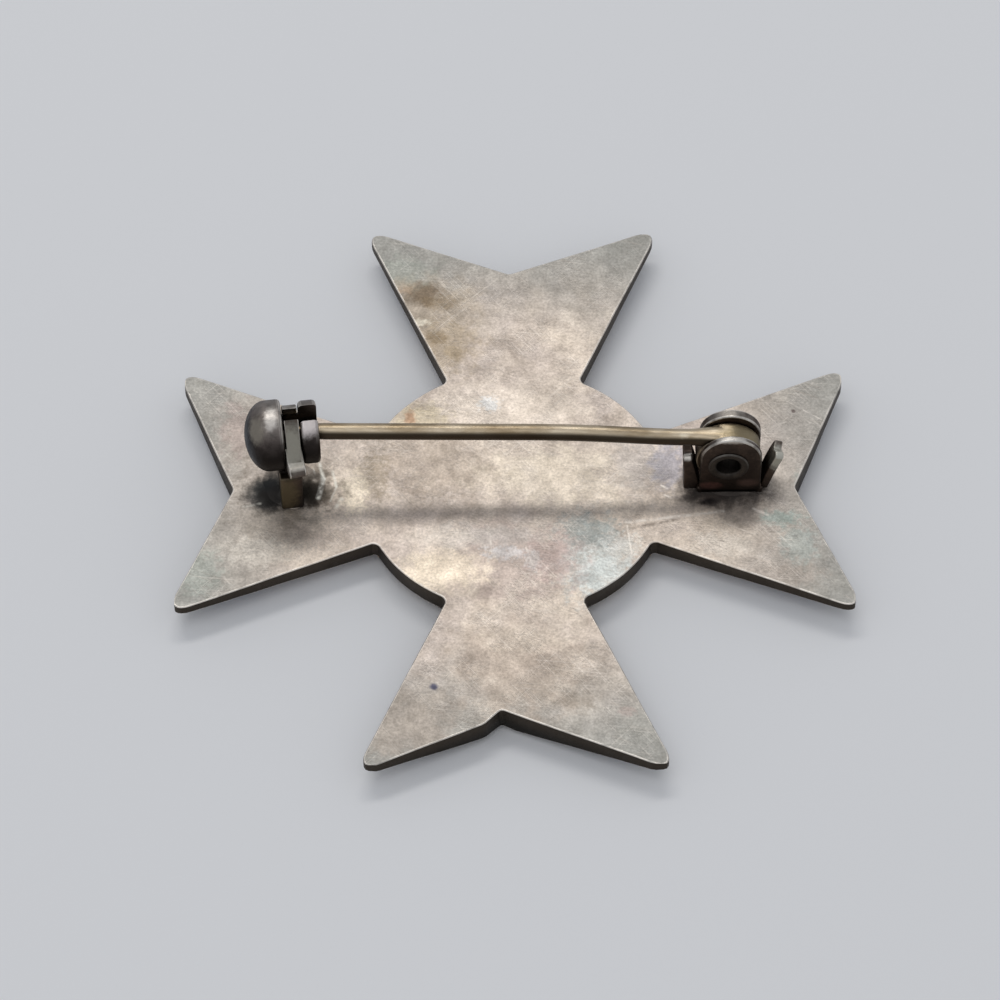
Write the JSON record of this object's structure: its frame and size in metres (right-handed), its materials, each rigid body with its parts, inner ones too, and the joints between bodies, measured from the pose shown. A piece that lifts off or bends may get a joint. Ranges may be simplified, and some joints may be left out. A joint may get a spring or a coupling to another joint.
{
  "type": "enamel brooch",
  "caption": "Eight-pointed cross brooch lying face down, with a riveted pin and a roller safety catch on its flat back; plain enamel fields on the front.",
  "frame": {"origin": "centre of the cross, on the plane of the front bezel that the brooch rests on", "axes": "+X towards the hinge of the pin, +Y towards the top of the cross as pictured, +Z from the front to the back with its fittings, up when it lies face down"},
  "size_m": [0.0486, 0.0485, 0.0106],
  "materials": {
    "silver": "tarnished silver, satin",
    "arm_enamel": "fired enamel, glossy and opaque",
    "centre_enamel": "fired enamel, glossy and opaque",
    "fitting_metal": "darkened nickel silver",
    "pin_brass": "tarnished"
  },
  "bodies": {
    "brooch": {"cross_plate": "silver", "enamel_right": "arm_enamel", "enamel_top": "arm_enamel", "enamel_left": "arm_enamel", "enamel_bottom": "arm_enamel", "enamel_centre": "centre_enamel", "hinge_rivet": "fitting_metal"},
    "pin": {"pin_stem": "pin_brass"},
    "rotor": {"catch_rotor": "fitting_metal"}
  },
  "joints": [
    {"name": "pin_swing", "type": "hinge", "parent": "brooch", "child": "pin", "pos_m": [0.01545, 0.00086, 0.00545], "axis": [0, 1, 0], "range_deg": [0, 110]},
    {"name": "catch_turn", "type": "hinge", "parent": "brooch", "child": "rotor", "pos_m": [-0.0147, 0.00086, 0.00802], "axis": [-0.9925, -0.1219, 0], "range_deg": [0, 150]}
  ]
}
